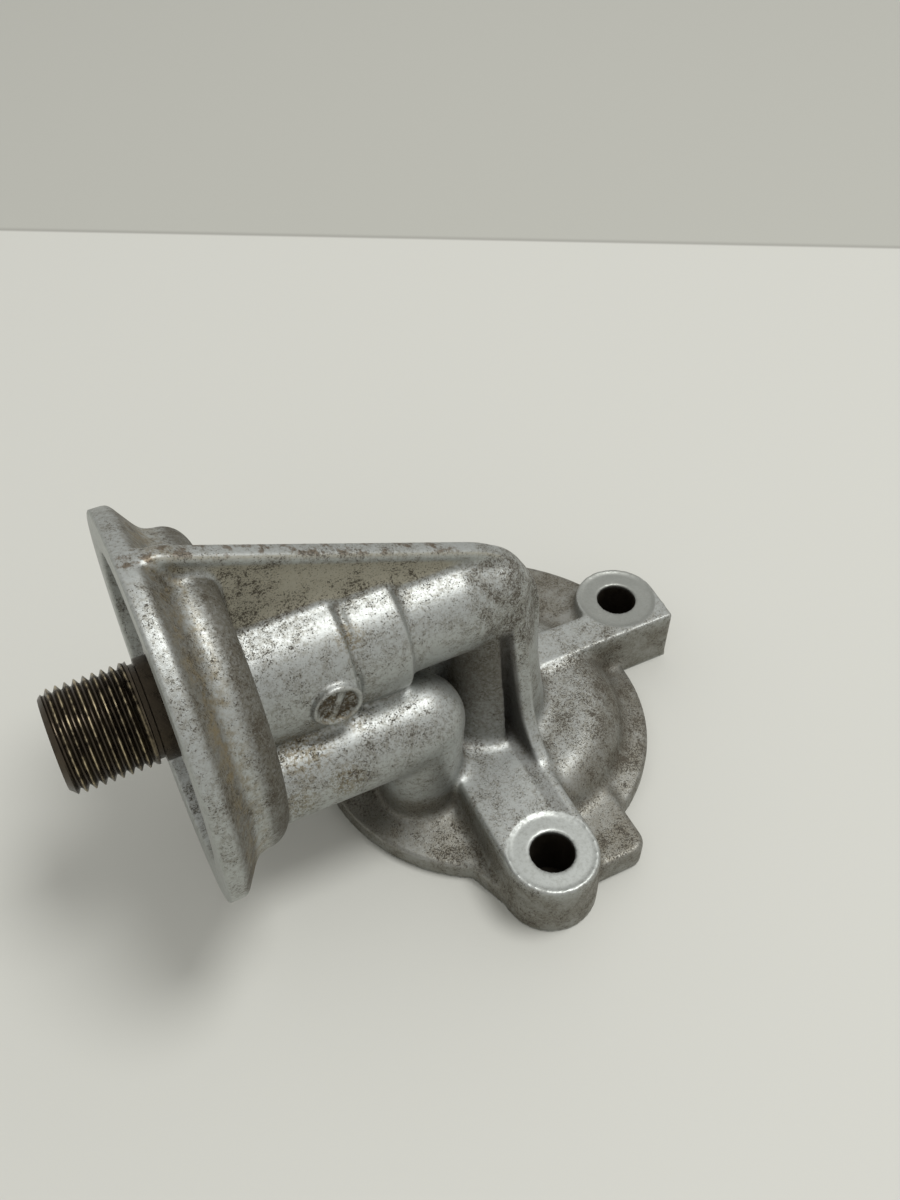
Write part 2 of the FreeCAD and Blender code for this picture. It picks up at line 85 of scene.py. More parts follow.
# Mesh helpers
def link(name, mesh):
    """A new object for a mesh, in the scene."""
    piece = bpy.data.objects.new(name, mesh)
    bpy.context.scene.collection.objects.link(piece)
    return piece


def grid_mesh(name, rings):
    """A mesh from an array of rings of points, each ring closed on itself."""
    rows, columns, _ = rings.shape
    index = np.arange(rows * columns).reshape(rows, columns)
    beside = np.roll(index, -1, axis=1)
    quads = np.stack([index[:-1], beside[:-1], beside[1:], index[1:]], axis=-1).reshape(-1, 4)
    mesh = bpy.data.meshes.new(name)
    mesh.from_pydata(rings.reshape(-1, 3).tolist(), [], quads.tolist())
    return mesh


def clean_mesh(mesh, merge=MERGE):
    """Merge points that coincide, drop what collapses and turn the faces outward."""
    work = bmesh.new()
    work.from_mesh(mesh)
    bmesh.ops.remove_doubles(work, verts=work.verts, dist=merge)
    bmesh.ops.dissolve_degenerate(work, edges=work.edges, dist=merge)
    bmesh.ops.recalc_face_normals(work, faces=work.faces)
    work.to_mesh(mesh)
    work.free()


def smooth_shading(mesh, degrees):
    """Smooth shading that stays crisp at edges sharper than an angle."""
    mesh.shade_smooth()
    mesh.set_sharp_from_angle(angle=math.radians(degrees))


def ramp(distance, start, end):
    """0 below start, 1 above end, straight between."""
    return np.clip((distance - start) / (end - start), 0.0, 1.0)


def store(mesh, name, values):
    """Keep one number per point as a named attribute."""
    layer = mesh.attributes.new(name, "FLOAT", "POINT")
    layer.data.foreach_set("value", np.asarray(values, dtype=np.float32))


# The casting: how its mesh is evened out, filled in its corners and softened
VOXEL = 0.4 * MM
FILL_STEPS = 36
FILL_RATE = 0.8
CONVEX_SHARE = 0.05
NORMALS_EVERY = 3
SOFTEN_RATE = 0.5
FIRST_SOFTENING, LAST_SOFTENING = 3, 2
MACHINED_SHARE = 0.25
MARK_SHARE = 0.02
BEND_BLUR, FILL_BLUR = 4, 8
WIDE_STEPS, WIDE_RATE = 140, 0.8

# How far round each machined face or bore the casting keeps its modelled form, in millimetres
FACE_SKIN, BORE_SKIN, SEAT_SKIN = 0.3, 0.4, 0.5
GROOVES_RADIUS, GROOVES_DEPTH = 34.0, 3.0
VALVE_MIDDLE_X, VALVE_REACH = -47.0, 9.0

# Where painted shade lies, behind the flange, on the bowl's back, on the column's face and in the slot beside
# the fin, and the rim's half width, in millimetres
CONE_X, CONE_REACH, CONE_INNER_RADIUS = -60.5, 2.4, 29.0
BACK_START_X, BACK_END_X, BACK_INNER_RADIUS = -56.2, -49.5, 14.2
COLUMN_START_X, COLUMN_REACH, COLUMN_FOOT_Z, COLUMN_TOP_Z = -14.0, 16.0, 14.0, 44.0
RIM_HALF_WIDTH = 1.9
SLOT_X, SLOT_LEAN, SLOT_REACH, SLOT_FOOT_Z, SLOT_TOP_Z = -0.3, 0.02, 1.9, 13.6, 42.0


def remeshed(node, name):
    """An even, fine copy of a node's mesh."""
    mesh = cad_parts[node].data.copy()
    clean_mesh(mesh)
    piece = link(name, mesh)
    modifier = piece.modifiers.new("even", "REMESH")
    modifier.mode = "VOXEL"
    modifier.voxel_size = VOXEL
    graph = bpy.context.evaluated_depsgraph_get()
    fine = bpy.data.meshes.new_from_object(piece.evaluated_get(graph))
    piece.modifiers.clear()
    piece.data = fine
    fine.materials.clear()
    return piece


class Surface:
    """Points, edges and faces of a mesh as arrays, in millimetres."""

    def __init__(self, mesh):
        count = len(mesh.vertices)
        flat = np.empty(count * 3)
        mesh.vertices.foreach_get("co", flat)
        self.points = flat.reshape(-1, 3) / MM
        edges = np.empty(len(mesh.edges) * 2, dtype=np.int64)
        mesh.edges.foreach_get("vertices", edges)
        self.a, self.b = edges.reshape(-1, 2).T
        self.degree = np.bincount(np.concatenate([self.a, self.b]), minlength=count).astype(float)
        mesh.calc_loop_triangles()
        triangles = np.empty(len(mesh.loop_triangles) * 3, dtype=np.int64)
        mesh.loop_triangles.foreach_get("vertices", triangles)
        self.triangles = triangles.reshape(-1, 3)

    def mean(self, values):
        """Average of each point's neighbours."""
        count = len(self.points)
        total = np.bincount(self.a, values[self.b], count) + np.bincount(self.b, values[self.a], count)
        return total / self.degree

    def pull(self):
        """From each point to the average of its neighbours."""
        return np.stack([self.mean(self.points[:, k]) for k in range(3)], axis=1) - self.points

    def normals(self):
        """Unit normal at each point."""
        corners = self.points[self.triangles]
        face = np.cross(corners[:, 1] - corners[:, 0], corners[:, 2] - corners[:, 0])
        total = np.zeros_like(self.points)
        for corner in range(3):
            for k in range(3):
                total[:, k] += np.bincount(self.triangles[:, corner], face[:, k], len(self.points))
        return total / np.linalg.norm(total, axis=1, keepdims=True)

    def blur(self, values, steps, rate=0.5):
        """Values drawn towards their neighbours' average a number of times."""
        for _ in range(steps):
            values = (1.0 - rate) * values + rate * self.mean(values)
        return values

    def depth(self, normal):
        """How far each point lies below its wide surroundings, in millimetres."""
        level = np.stack([self.blur(self.points[:, k], WIDE_STEPS, WIDE_RATE) for k in range(3)], axis=1)
        return ((level - self.points) * normal).sum(axis=1)


def machined_distance(p):
    """Distance in millimetres from the faces and bores that were machined, below 0 inside them."""
    x, y, z = p.T
    from_filter_axis = np.hypot(y, z - FILTER_AXIS_Z)
    from_port_axis = np.hypot(x, y)
    from_bypass = np.hypot(y - BYPASS_Y, z - BYPASS_Z)
    distance = np.minimum(z, x - FILTER_FACE_X) - FACE_SKIN
    for hole_x, hole_y in BOLT_HOLES:
        from_hole = np.hypot(x - hole_x, y - hole_y)
        spot = np.maximum(from_hole - SPOT_FACE_RADIUS - FACE_SKIN, SPOT_FACE_Z - SEAT_SKIN - z)
        distance = np.minimum(distance, np.minimum(spot, from_hole - BOLT_HOLE_RADIUS - BORE_SKIN))
    grooves = np.maximum(from_port_axis - GROOVES_RADIUS, z - GROOVES_DEPTH)
    stud = np.maximum(from_filter_axis - STUD_RADIUS - SEAT_SKIN, x - STUD_INNER_END_X - 2 * SEAT_SKIN)
    along = np.maximum(from_filter_axis - RETURN_BORE_RADIUS - BORE_SKIN, x)
    down = np.maximum(from_port_axis - RETURN_BORE_RADIUS - BORE_SKIN, z - FILTER_AXIS_Z)
    valve = np.maximum(from_bypass - BYPASS_BORE_RADIUS - SEAT_SKIN, np.abs(x - VALVE_MIDDLE_X) - VALVE_REACH)
    for bore in (grooves, stud, along, down, valve):
        distance = np.minimum(distance, bore)
    return distance


def bore_share(p):
    """1 on the walls of the bolt holes and oil passages, which are dark with old oil."""
    x, y, z = p.T
    share = np.zeros(len(p))
    for hole_x, hole_y in BOLT_HOLES:
        inside = BOLT_HOLE_RADIUS + 0.15 - np.hypot(x - hole_x, y - hole_y)
        share = np.maximum(share, ramp(inside, 0.0, 0.1) * ramp(SPOT_FACE_Z - z, 0.1, 1.0))
    from_filter_axis = np.hypot(y, z - FILTER_AXIS_Z)
    wide = np.maximum(from_filter_axis - STUD_RADIUS, x - STUD_INNER_END_X)
    along = np.maximum(from_filter_axis - RETURN_BORE_RADIUS, x)
    down = np.maximum(np.hypot(x, y) - RETURN_BORE_RADIUS, z - FILTER_AXIS_Z)
    nearest = np.minimum(np.minimum(wide, along), down)
    return np.maximum(share, 1.0 - ramp(nearest, 0.1, 0.3))


def mark_share(p):
    """1 inside the raised ring, where dirt stays."""
    x, y, z = p.T
    within = MARK_RADIUS - 0.3 - np.hypot(x - MARK_X, z - MARK_Z)
    proud = np.hypot(y, z - FILTER_AXIS_Z) - PASSAGE_RADIUS
    return ramp(within, 0.0, 0.5) * ramp(-y, 0.0, 1.0) * ramp(0.45 - proud, 0.0, 0.3)


def painted_shade_share(p):
    """1 on painted shade: dark bands behind the flange, on the bowl's back and on the column's face, where
    shade and dark reflections fall.
    """
    x, y, z = p.T
    radial = np.hypot(y, z - FILTER_AXIS_Z)
    cone = ramp(CONE_REACH - np.abs(x - CONE_X), 0.0, 1.3) * ramp(radial - CONE_INNER_RADIUS, 0.0, 1.5)
    back = ramp(x - BACK_START_X, 0.0, 2.2) * ramp(BACK_END_X - x, 0.0, 1.0)
    back *= ramp(radial - BACK_INNER_RADIUS, 0.0, 1.8)
    on_rim = ramp(RIM_HALF_WIDTH + 0.5 - np.abs(y), 0.0, 0.4) * ramp(z, 70.0, 72.0)
    across = ramp(x - COLUMN_START_X, 0.0, 2.5) * ramp(-x, 0.5, 1.5) * ramp(-y, 2.0, 4.0)
    upper = ramp(z - COLUMN_FOOT_Z, 0.5, 20.0) * ramp(COLUMN_TOP_Z - z, 0.0, 3.0)
    upper *= ramp(COLUMN_REACH - np.hypot(x, y), 0.0, 1.0)
    lower = ramp(z - COLUMN_FOOT_Z, 0.0, 1.0) * ramp(COLUMN_TOP_Z - z, 4.0, 9.0)
    column = across * (0.75 * upper + 0.25 * lower)
    return np.maximum(np.maximum(0.85 * cone, back) * (1.0 - on_rim), column)


def slot_shade_share(p):
    """1 in the slot beside the fin and on the fin's edge next to it, where shade is painted."""
    x, y, z = p.T
    centre = SLOT_X + SLOT_LEAN * (SLOT_TOP_Z - z)
    inside = ramp(SLOT_REACH - np.abs(x - centre), 0.0, 0.6) * ramp(-y, 4.5, 5.5)
    return inside * ramp(z - SLOT_FOOT_Z, 0.0, 1.0) * ramp(SLOT_TOP_Z + 2.0 - z, 0.0, 2.0)


def web_share(p, normal):
    """1 on the two flat sides of the gusset's web."""
    beside = ramp(1.8 - np.abs(p[:, 1]), 0.0, 0.2)
    return ramp(np.abs(normal[:, 1]), 0.55, 0.85) * beside * ramp(p[:, 2], 50.0, 56.0)


def rim_share(p, normal):
    """1 on the top of the gusset's rim."""
    over = ramp(RIM_HALF_WIDTH + 0.3 - np.abs(p[:, 1]), 0.0, 0.3)
    return ramp(normal[:, 2], 0.4, 0.8) * over * ramp(p[:, 2], 60.5, 62.0)


def fill_freedom(p):
    """How far the casting's corners may fill in, from 0 to 1."""
    freedom = ramp(machined_distance(p), 0.0, 0.9)
    from_mark = np.hypot(p[:, 0] - MARK_X, p[:, 2] - MARK_Z)
    freedom[(from_mark < MARK_RADIUS + 0.8) & (p[:, 1] < 0)] *= MARK_SHARE
    return freedom


def cast_housing():
    """The casting with soft fillets in its corners and slightly worn edges."""
    piece = remeshed("housing", "housing_casting")
    mesh = piece.data
    surface = Surface(mesh)
    start = surface.points.copy()
    freedom = fill_freedom(start)[:, None]
    for _ in range(FIRST_SOFTENING):
        surface.points += SOFTEN_RATE * surface.pull() * np.maximum(freedom, MACHINED_SHARE)
    for step in range(FILL_STEPS):
        if step % NORMALS_EVERY == 0:
            normal = surface.normals()
        pull = surface.pull()
        along = (pull * normal).sum(axis=1, keepdims=True)
        pull -= np.where(along < 0, 1.0 - CONVEX_SHARE, 0.0) * along * normal
        surface.points += FILL_RATE * pull * freedom
    for _ in range(LAST_SOFTENING):
        surface.points += SOFTEN_RATE * surface.pull() * freedom
    low, high = (np.array(corner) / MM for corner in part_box("housing"))
    surface.points = np.clip(surface.points, low, high)
    mesh.vertices.foreach_set("co", (surface.points * MM).ravel())
    mesh.update()
    mesh.shade_smooth()
    normal = surface.normals()
    filled = surface.blur(((surface.points - start) * normal).sum(axis=1), FILL_BLUR)
    bend = surface.blur((surface.pull() * normal).sum(axis=1), BEND_BLUR)
    store(mesh, "machined", 1.0 - ramp(machined_distance(surface.points), -0.1, 0.15))
    store(mesh, "bore", bore_share(surface.points))
    store(mesh, "hollow", ramp(filled, 0.05, 0.9))
    store(mesh, "edge", ramp(-bend, 0.012, 0.06))
    # deep: painted shade in recesses and in the slot beside the fin, coloured SHADE
    store(mesh, "deep", np.maximum(ramp(surface.depth(normal), 0.9, 2.6), slot_shade_share(surface.points)))
    # The grime attribute holds painted shade: dark bands behind the flange, on the bowl's back and on the
    # column's face.
    store(mesh, "grime", painted_shade_share(surface.points))
    store(mesh, "web", web_share(surface.points, normal))
    store(mesh, "rim", rim_share(surface.points, normal))
    store(mesh, "mark", mark_share(surface.points))
    return piece


# The stud: its thread's form as shares of the pitch, and its small bevels
RING_POINTS = 144
THREAD_DEPTH_SHARE = 0.6134
CREST_END, ROOT_START, ROOT_MIDDLE, ROOT_END = 0.125, 0.479, 0.5625, 0.646
ROOT_DIP = 0.03
RELIEF_BEVEL, HEX_BEVEL = 0.2, 0.3
STUD_MERGE = 2e-7
STUD_CREASE, SPRING_CREASE = 24, 50


def thread_radius(x, turn):
    """Radius of the thread's surface at a distance along the stud and a share of a turn."""
    root = STUD_RADIUS - THREAD_DEPTH_SHARE * THREAD_PITCH
    place = [0.0, CREST_END, ROOT_START, ROOT_MIDDLE, ROOT_END, 1.0]
    radius = [STUD_RADIUS, STUD_RADIUS, root, root - ROOT_DIP, root, STUD_RADIUS]
    full = np.interp(np.mod((x - STUD_TIP_X) / THREAD_PITCH - turn, 1.0), place, radius)
    run_out = ramp(THREAD_END_X - x, 0.0, THREAD_PITCH)
    chamfer = STUD_RADIUS - STUD_CHAMFER + (x - STUD_TIP_X)
    return np.minimum(STUD_RADIUS - (STUD_RADIUS - full) * run_out, chamfer)


def stud_ring(x, radius):
    """One ring of the stud at a distance along it; the radius may vary round it."""
    angle = np.linspace(0.0, 2 * math.pi, RING_POINTS, endpoint=False)
    x, radius = np.broadcast_to(x, angle.shape), np.broadcast_to(radius, angle.shape)
    return np.stack([x, radius * np.cos(angle), FILTER_AXIS_Z + radius * np.sin(angle)], axis=1)


def thread_strip():
    """Strips that follow the helix, each cut off where the thread starts and ends."""
    turn = np.linspace(0.0, 1.0, RING_POINTS + 1)
    shares = np.array([0.0, CREST_END / 2, CREST_END, (CREST_END + ROOT_START) / 2,
                       ROOT_START, ROOT_MIDDLE, ROOT_END, (ROOT_END + 1.0) / 2])
    turns = int((THREAD_END_X - STUD_TIP_X) / THREAD_PITCH) + 3
    rows = (np.arange(-1, turns)[:, None] + shares[None, :]).ravel()
    x = STUD_TIP_X + THREAD_PITCH * (rows[:, None] + turn[None, :])
    x = np.clip(x, STUD_TIP_X, THREAD_END_X)
    radius = thread_radius(x, turn[None, :])
    angle = 2 * math.pi * turn[None, :]
    points = np.stack([x, radius * np.cos(angle), FILTER_AXIS_Z + radius * np.sin(angle)], axis=-1)
    index = np.arange(points[..., 0].size).reshape(points.shape[:2])
    quads = np.stack([index[:-1, :-1], index[:-1, 1:], index[1:, 1:], index[1:, :-1]], axis=-1)
    return points.reshape(-1, 3), quads.reshape(-1, 4)


def threaded_stud():
    """Hollow stud with a modelled thread, a hexagon socket and a plain root."""
    points, quads = thread_strip()
    angle = np.linspace(0.0, 2 * math.pi, RING_POINTS, endpoint=False)
    hexagon = HEX_APOTHEM / np.cos(np.mod(angle, math.pi / 3) - math.pi / 6)
    outline = [
        (THREAD_END_X, STUD_RADIUS),
        (THREAD_END_X, RELIEF_RADIUS + RELIEF_BEVEL),
        (THREAD_END_X + RELIEF_BEVEL, RELIEF_RADIUS),
        (RELIEF_END_X - RELIEF_BEVEL, RELIEF_RADIUS),
        (RELIEF_END_X, RELIEF_RADIUS + RELIEF_BEVEL),
        (RELIEF_END_X, STUD_RADIUS),
        (STUD_INNER_END_X, STUD_RADIUS),
        (STUD_INNER_END_X, STUD_BORE_RADIUS),
        (STUD_TIP_X + HEX_DEPTH, STUD_BORE_RADIUS),
        (STUD_TIP_X + HEX_DEPTH, hexagon),
        (STUD_TIP_X + HEX_BEVEL, hexagon),
        (STUD_TIP_X, hexagon + HEX_BEVEL),
        (STUD_TIP_X, STUD_RADIUS - STUD_CHAMFER)]
    rings = np.array([stud_ring(x, radius) for x, radius in outline])
    rest = grid_mesh("rest", rings)
    base = len(points)
    points = np.vstack([points, rings.reshape(-1, 3)])
    faces = quads.tolist() + [[base + i for i in face.vertices] for face in rest.polygons]
    bpy.data.meshes.remove(rest)
    mesh = bpy.data.meshes.new("stud_threaded")
    mesh.from_pydata((points * MM).tolist(), [], faces)
    clean_mesh(mesh, STUD_MERGE)
    smooth_shading(mesh, STUD_CREASE)
    flat = np.empty(len(mesh.vertices) * 3)
    mesh.vertices.foreach_get("co", flat)
    x, y, z = flat.reshape(-1, 3).T / MM
    crest = ramp(np.hypot(y, z - FILTER_AXIS_Z), STUD_RADIUS - 0.14, STUD_RADIUS - 0.01)
    store(mesh, "crest", crest * ramp(THREAD_END_X - x, 0.0, 1.0))
    return link("stud_threaded", mesh)


# The spring
def coil_spring():
    """Round wire coil between the poppet's head and the end of the cage."""
    steps, sides = 220, 16
    share = np.linspace(0.0, 1.0, steps)
    turn = 2 * math.pi * SPRING_TURNS * share
    length = SPRING_END_X - SPRING_START_X
    centre = np.stack([SPRING_START_X + length * share,
                       BYPASS_Y + SPRING_RADIUS * np.sin(turn),
                       BYPASS_Z - SPRING_RADIUS * np.cos(turn)], axis=1)
    outward = np.stack([np.zeros(steps), np.sin(turn), -np.cos(turn)], axis=1)
    ahead = np.gradient(centre, axis=0)
    ahead /= np.linalg.norm(ahead, axis=1, keepdims=True)
    across = np.cross(ahead, outward)
    angle = np.linspace(0.0, 2 * math.pi, sides, endpoint=False)[None, :, None]
    rings = centre[:, None] + SPRING_WIRE_RADIUS * (np.cos(angle) * outward[:, None]
                                                    + np.sin(angle) * across[:, None])
    first = np.repeat(centre[:1, None], sides, axis=1)
    last = np.repeat(centre[-1:, None], sides, axis=1)
    mesh = grid_mesh("spring_coil", np.concatenate([first, rings, last]) * MM)
    clean_mesh(mesh)
    smooth_shading(mesh, SPRING_CREASE)
    return link("spring_coil", mesh)


# Materials
class Graph:
    """Short names for building a material's nodes."""

    def __init__(self, name):
        self.material = bpy.data.materials.new(name)
        self.material.use_nodes = True
        self.tree = self.material.node_tree
        self.shader = self.tree.nodes["Principled BSDF"]
        self.place = self.tree.nodes.new("ShaderNodeTexCoord").outputs["Object"]

    def put(self, socket, value):
        """Link an output, or set a plain value."""
        if isinstance(value, bpy.types.NodeSocket):
            self.tree.links.new(value, socket)
        else:
            socket.default_value = value

    def noise(self, size_mm, detail=2.0, roughness=0.5):
        """Noise whose features are about a size in millimetres."""
        node = self.tree.nodes.new("ShaderNodeTexNoise")
        node.inputs["Scale"].default_value = 1.0 / (size_mm * MM)
        node.inputs["Detail"].default_value = detail
        node.inputs["Roughness"].default_value = roughness
        self.put(node.inputs["Vector"], self.place)
        return node.outputs["Fac"]

    def math(self, operation, a, b=0.0, c=0.0):
        """One step of arithmetic."""
        node = self.tree.nodes.new("ShaderNodeMath")
        node.operation = operation
        for socket, value in zip(node.inputs, (a, b, c)):
            self.put(socket, value)
        return node.outputs[0]

    def between(self, value, low, high, to_low=0.0, to_high=1.0):
        """Smooth step of a value from one range to another, held at the ends."""
        node = self.tree.nodes.new("ShaderNodeMapRange")
        node.interpolation_type = "SMOOTHSTEP"
        for socket, number in zip(node.inputs, (value, low, high, to_low, to_high)):
            self.put(socket, number)
        return node.outputs[0]

    def mix(self, share, first, second):
        """Blend two colours, each an output or the red, green and blue that a screen shows."""
        node = self.tree.nodes.new("ShaderNodeMix")
        node.data_type = "RGBA"
        self.put(node.inputs["Factor"], share)
        for socket, value in ((node.inputs["A"], first), (node.inputs["B"], second)):
            self.put(socket, colour(*value) if isinstance(value, tuple) else value)
        return node.outputs["Result"]

    def cover(self, base, layers):
        """Lay colours over a base one after the other, each by its own share."""
        for share, tint in layers:
            base = self.mix(share, base, tint)
        return base

    def times(self, *factors):
        """Product of outputs and numbers."""
        product = factors[0]
        for factor in factors[1:]:
            product = self.math("MULTIPLY", product, factor)
        return product

    def plus(self, *terms):
        """Sum of outputs and numbers."""
        total = terms[0]
        for term in terms[1:]:
            total = self.math("ADD", total, term)
        return total

    def most(self, *values):
        """Largest of some outputs."""
        largest = values[0]
        for value in values[1:]:
            largest = self.math("MAXIMUM", largest, value)
        return largest

    def attribute(self, name):
        """A named number kept on the mesh."""
        node = self.tree.nodes.new("ShaderNodeAttribute")
        node.attribute_name = name
        return node.outputs["Fac"]

    def axis(self, name):
        """One coordinate of the place."""
        node = self.tree.nodes.new("ShaderNodeSeparateXYZ")
        self.put(node.inputs[0], self.place)
        return node.outputs[name]

    def distance(self, x, y, z):
        """Distance in metres from a point given in millimetres."""
        node = self.tree.nodes.new("ShaderNodeVectorMath")
        node.operation = "DISTANCE"
        self.put(node.inputs[0], self.place)
        node.inputs[1].default_value = (x * MM, y * MM, z * MM)
        return node.outputs["Value"]

    def bump(self, height, depth_mm, strength=1.0, normal=None):
        """Relief from a height between 0 and 1."""
        node = self.tree.nodes.new("ShaderNodeBump")
        node.inputs["Distance"].default_value = depth_mm * MM
        node.inputs["Strength"].default_value = strength
        self.put(node.inputs["Height"], height)
        if normal is not None:
            self.put(node.inputs["Normal"], normal)
        return node.outputs["Normal"]


def colour(red, green, blue):
    """Linear colour from the 0 to 255 values that a screen shows."""
    def linear(value):
        share = value / 255
        return share / 12.92 if share <= 0.04045 else ((share + 0.055) / 1.055) ** 2.4
    return (linear(red), linear(green), linear(blue), 1.0)


# Colours of the casting, as a screen shows them
CLEAN_METAL, OXIDE, WEB_OXIDE, WORN_EDGE = (170, 173, 170), (139, 138, 130), (158, 153, 134), (176, 176, 170)
TURNED, TURNED_DULL, TURNED_SHADED = (170, 173, 169), (150, 152, 147), (134, 135, 129)
LOW_DARK_TONE, DIRT, SHADE_BAND, RING_DIRT = (104, 98, 84), (76, 70, 55), (62, 58, 46), (78, 66, 47)
STAIN, RUST, PIT, SHADE = (118, 104, 72), (98, 82, 62), (62, 55, 43), (42, 38, 30)
OLD_OIL, OILY_WALL = (44, 39, 32), (84, 76, 64)

# Places made darker, the elbow by real soiling, the dome and the rear lug's spot face by painted shade:
# centre, outer reach and reach of the full effect, in millimetres
ELBOW_SPOT = (5.0, -5.0, 47.0, 16.0, 6.0)
DOME_SHADE_SPOT = (27.0, -14.0, 9.0, 22.0, 12.0)
REAR_LUG_SHADE_SPOT = (40.5, 11.2, 14.0, 20.0, 12.0)
STAIN_SPOTS = ((-38.0, -14.5, 42.5, 6.5), (-44.0, -13.0, 36.0, 7.0), (-33.0, -12.5, 41.0, 5.0),
               (-47.0, -17.0, 30.0, 5.0), (-31.6, -8.0, 57.0, 4.0), (-38.0, -18.0, 31.0, 5.0),
               (-47.0, -12.0, 41.5, 4.0))
VALLEY_X, VALLEY_REACH, VALLEY_CORE = -58.6, 3.6, 1.4
LOW_START_Z, LOW_FULL_Z = 15.0, 10.5


def spot(g, x, y, z, reach, core):
    """1 near a point, falling to 0 at its reach, in millimetres."""
    return g.between(g.distance(x, y, z), reach * MM, core * MM)


def stains(g, mottle):
    """Brown stains in the valley behind the filter flange and on the passages."""
    patch = g.between(g.noise(2.2, 5.0, 0.75), 0.38, 0.70, 0.0, 0.75)
    along = g.math("ABSOLUTE", g.math("SUBTRACT", g.axis("X"), VALLEY_X * MM))
    yield g.times(patch, g.between(along, VALLEY_REACH * MM, VALLEY_CORE * MM))
    speckled = g.between(mottle, 0.40, 0.60, 0.0, 0.6)
    for x, y, z, reach in STAIN_SPOTS:
        yield g.times(spot(g, x, y, z, reach, reach / 3), speckled)


def cast_aluminium():
    """Worn die-cast aluminium: oxide mottling, dark pits, brown dirt in hollows, painted shade in recesses
    and in dark bands, bright machined faces.
    """
    g = Graph("cast_aluminium")
    machined, hollow, edge, bore, deep, mark, grime, web, rim = (
        g.attribute(name)
        for name in ("machined", "hollow", "edge", "bore", "deep", "mark", "grime", "web", "rim"))
    patches = g.noise(7.0, 3.0, 0.6)
    clusters = g.noise(2.6, 3.0, 0.65)
    mottle = g.noise(0.7, 4.0, 0.7)
    small = g.noise(0.30, 2.0, 0.6)
    coarse = g.noise(0.50, 3.0, 0.65)
    # Darker towards the bottom, below about 15 mm.
    low = g.between(g.axis("Z"), LOW_START_Z * MM, LOW_FULL_Z * MM)
    elbow, dome_shade, rear_lug_shade = (spot(g, *place) for place in (ELBOW_SPOT, DOME_SHADE_SPOT, REAR_LUG_SHADE_SPOT))

    age = g.plus(*(g.times(g.math("SUBTRACT", field, 0.5), 0.45) for field in (patches, clusters)))
    # The dome's share darkens it with more oxide and pits, as painted shade.
    for place, share in ((low, 0.04), (web, 0.06), (elbow, 0.15), (dome_shade, 0.08), (hollow, 0.04),
                         (mark, 0.10), (grime, 0.06), (rim, 0.02)):
        age = g.plus(age, g.times(place, share))
    oxide = g.between(g.plus(mottle, age), 0.36, 0.76)
    small_pits = g.between(g.plus(small, g.times(age, 0.6)), 0.605, 0.665)
    large_pits = g.between(g.plus(coarse, g.times(age, 0.8)), 0.652, 0.690)
    pits = g.most(g.times(small_pits, 0.8), large_pits)
    dirt = g.between(g.plus(g.times(hollow, 0.5), g.times(mottle, 0.4)), 0.30, 0.72)
    # The grime share adds painted shade to the dirt.
    dirt = g.most(dirt, g.times(grime, g.between(mottle, 0.3, 0.6, 0.65, 1.0)))

    metal = g.cover(g.mix(oxide, CLEAN_METAL, OXIDE), [
        (g.times(web, 0.85), WEB_OXIDE),
        # darker towards the bottom
        (g.times(low, g.between(patches, 0.25, 0.7, 0.45, 0.7)), LOW_DARK_TONE),
        (g.times(dirt, 0.78), DIRT),
        # painted shade in the grime bands
        (g.times(grime, 0.4), SHADE_BAND)])
    metal = g.cover(metal, [(stain, STAIN) for stain in stains(g, mottle)])
    metal = g.cover(metal, [
        (g.times(rim, g.between(clusters, 0.50, 0.60), 0.7), RUST),
        (g.times(mark, g.between(mottle, 0.38, 0.56, 0.25, 0.95)), RING_DIRT),
        (g.times(pits, 0.88), PIT),
        (g.times(deep, 0.85), SHADE),
        (g.times(edge, 0.3), WORN_EDGE)])
    turned = g.mix(g.between(mottle, 0.4, 0.75), TURNED, TURNED_DULL)
    # The rear lug's spot face is turned darker as painted shade.
    turned = g.mix(g.times(rear_lug_shade, 0.7), turned, TURNED_SHADED)
    metal = g.mix(machined, metal, turned)
    metal = g.mix(bore, metal, g.mix(mottle, OLD_OIL, OILY_WALL))
    g.put(g.shader.inputs["Base Color"], metal)

    dull = g.most(pits, dirt, web, deep)
    g.put(g.shader.inputs["Metallic"], g.math("SUBTRACT", 0.85, g.times(dull, 0.6)))
    g.put(g.shader.inputs["Roughness"],
          g.plus(g.times(oxide, 0.10), g.times(dull, 0.18), g.times(machined, -0.04), 0.43))
    cast = g.math("SUBTRACT", 1.0, machined)
    relief = g.math("SUBTRACT", g.times(g.noise(0.16, 2.0, 0.7), cast, 0.8), g.times(pits, cast, 1.4))
    waves = g.bump(g.times(mottle, cast), 0.035, 0.6)
    g.put(g.shader.inputs["Normal"], g.bump(relief, 0.03, 1.0, waves))
    return g.material


def dark_steel():
    """Oiled black thread with crests worn bright."""
    g = Graph("dark_steel")
    crest = g.attribute("crest")
    grime = g.noise(1.6, 3.0, 0.6)
    worn = g.times(crest, g.between(grime, 0.35, 0.7))
    base = g.mix(grime, (52, 47, 40), (86, 77, 64))
    g.put(g.shader.inputs["Base Color"], g.mix(worn, base, (186, 172, 140)))
    g.shader.inputs["Metallic"].default_value = 0.9
    g.put(g.shader.inputs["Roughness"], g.between(grime, 0.2, 0.8, 0.22, 0.42))
    g.put(g.shader.inputs["Normal"], g.bump(g.noise(0.3, 2.0), 0.02, 0.6))
    return g.material


